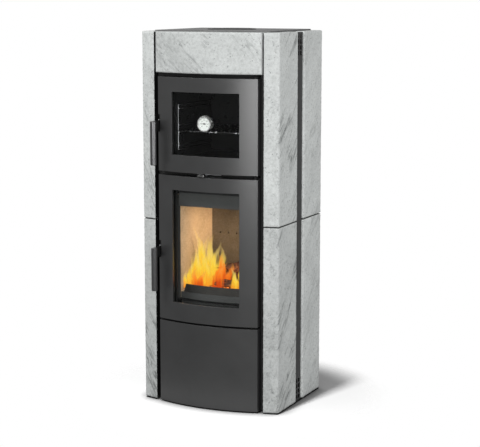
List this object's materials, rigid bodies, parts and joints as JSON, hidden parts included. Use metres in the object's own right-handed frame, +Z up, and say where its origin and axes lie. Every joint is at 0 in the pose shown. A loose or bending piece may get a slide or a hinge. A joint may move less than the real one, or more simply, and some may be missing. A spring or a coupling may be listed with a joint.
{
  "type": "wood stove",
  "caption": "Tall stone-clad wood stove with a bowed dark steel front: glazed bake oven over a glazed firebox, with a closed wood store below.",
  "frame": {"origin": "on the floor, at the middle of the stone footprint", "axes": "+Z up, the doors face -Y, +X is to the right for someone facing the doors"},
  "size_m": [0.56, 0.5095, 1.408],
  "materials": {
    "soapstone": "honed, fine grey grain with pale veins",
    "dark_paint": "matt black heat-proof paint",
    "door_paint": "satin dark grey heat-proof paint",
    "channel_paint": "satin dark grey heat-proof paint",
    "handle_paint": "satin anthracite",
    "zinc_steel": "plain zinc-plated steel",
    "collar_steel": "satin dark grey",
    "satin_steel": "satin stainless steel",
    "chrome_wire": "bright chromed wire",
    "oven_enamel": "black enamel",
    "firebrick": "light vermiculite board, sooted by use",
    "cast_iron": "plain cast iron",
    "rope": "black glass-fibre rope",
    "glass": "clear heat-proof glass",
    "dial_white": "matt white",
    "needle_black": "matt black"
  },
  "bodies": {
    "stove": {"front_left_lower_stone": "soapstone", "front_left_upper_stone": "soapstone", "front_right_lower_stone": "soapstone", "front_right_upper_stone": "soapstone", "rear_stones": "soapstone", "lintel_stone": "soapstone", "base_plate": "dark_paint", "levelling_screws": "zinc_steel", "body_side_walls": "dark_paint", "body_rear_wall": "dark_paint", "body_top": "dark_paint", "store_ceiling": "dark_paint", "firebox_floor": "dark_paint", "front_frame": "dark_paint", "lintel_bracket": "dark_paint", "side_channels": "channel_paint", "channel_brackets": "dark_paint", "rear_panel": "channel_paint", "top_plate": "channel_paint", "flue_collar": "collar_steel", "air_spigot": "zinc_steel", "hinge_lugs": "dark_paint", "hinge_pins": "zinc_steel", "side_linings": "firebrick", "rear_lining": "firebrick", "floor_bricks": "firebrick", "baffle_plate": "firebrick", "grate": "cast_iron", "rear_air_duct": "dark_paint", "firebox_sill": "dark_paint", "log_retainer": "cast_iron", "airwash_deflector": "dark_paint", "oven_box": "oven_enamel", "oven_side_rails": "chrome_wire", "air_guides": "dark_paint", "latch_keepers": "zinc_steel", "store_door_catch": "dark_paint"},
    "oven_door": {"oven_door_skin": "door_paint", "oven_door_glass": "glass", "oven_door_inner_frame": "dark_paint", "oven_door_seal": "rope", "oven_glass_clips": "zinc_steel", "thermometer_case": "satin_steel", "thermometer_dial": "dial_white", "thermometer_lens": "glass"},
    "fire_door": {"fire_door_skin": "door_paint", "fire_door_glass": "glass", "fire_door_inner_frame": "dark_paint", "fire_door_seal": "rope", "fire_glass_clips": "zinc_steel"},
    "store_door": {"store_door_skin": "door_paint"},
    "oven_handle": {"oven_handle_lever": "dark_paint", "oven_handle_bar": "handle_paint"},
    "fire_handle": {"fire_handle_lever": "dark_paint", "fire_handle_bar": "handle_paint"},
    "thermometer_pointer": {"thermometer_needle": "needle_black"},
    "air_slider": {"air_slide": "zinc_steel", "air_knob": "satin_steel"},
    "rack": {"oven_rack": "chrome_wire"},
    "pan": {"ash_pan": "zinc_steel"}
  },
  "joints": [
    {"name": "oven_door_hinge", "type": "hinge", "parent": "stove", "child": "oven_door", "pos_m": [0.188, -0.205, 1.0607], "axis": [0, 0, 1], "range_deg": [0, 105]},
    {"name": "fire_door_hinge", "type": "hinge", "parent": "stove", "child": "fire_door", "pos_m": [0.188, -0.205, 0.599], "axis": [0, 0, 1], "range_deg": [0, 105]},
    {"name": "store_door_hinge", "type": "hinge", "parent": "stove", "child": "store_door", "pos_m": [0.188, -0.205, 0.162], "axis": [0, 0, 1], "range_deg": [0, 105]},
    {"name": "oven_handle_turn", "type": "hinge", "parent": "oven_door", "child": "oven_handle", "pos_m": [-0.2005, -0.208, 1.063], "axis": [-1, 0, 0], "range_deg": [0, 40]},
    {"name": "fire_handle_turn", "type": "hinge", "parent": "fire_door", "child": "fire_handle", "pos_m": [-0.2005, -0.208, 0.59], "axis": [-1, 0, 0], "range_deg": [0, 40]},
    {"name": "pointer_turn", "type": "hinge", "parent": "oven_door", "child": "thermometer_pointer", "pos_m": [0, -0.2424, 1.069], "axis": [0, 1, 0], "range_deg": [-45, 225]},
    {"name": "air_slide_travel", "type": "slide", "parent": "stove", "child": "air_slider", "axis": [1, 0, 0], "range_m": [-0.035, 0.035]},
    {"name": "rack_travel", "type": "slide", "parent": "stove", "child": "rack", "axis": [0, -1, 0], "range_m": [-0.01, 0.012]},
    {"name": "ash_pan_travel", "type": "slide", "parent": "stove", "child": "pan", "axis": [0, -1, 0], "range_m": [0, 0.008]}
  ]
}
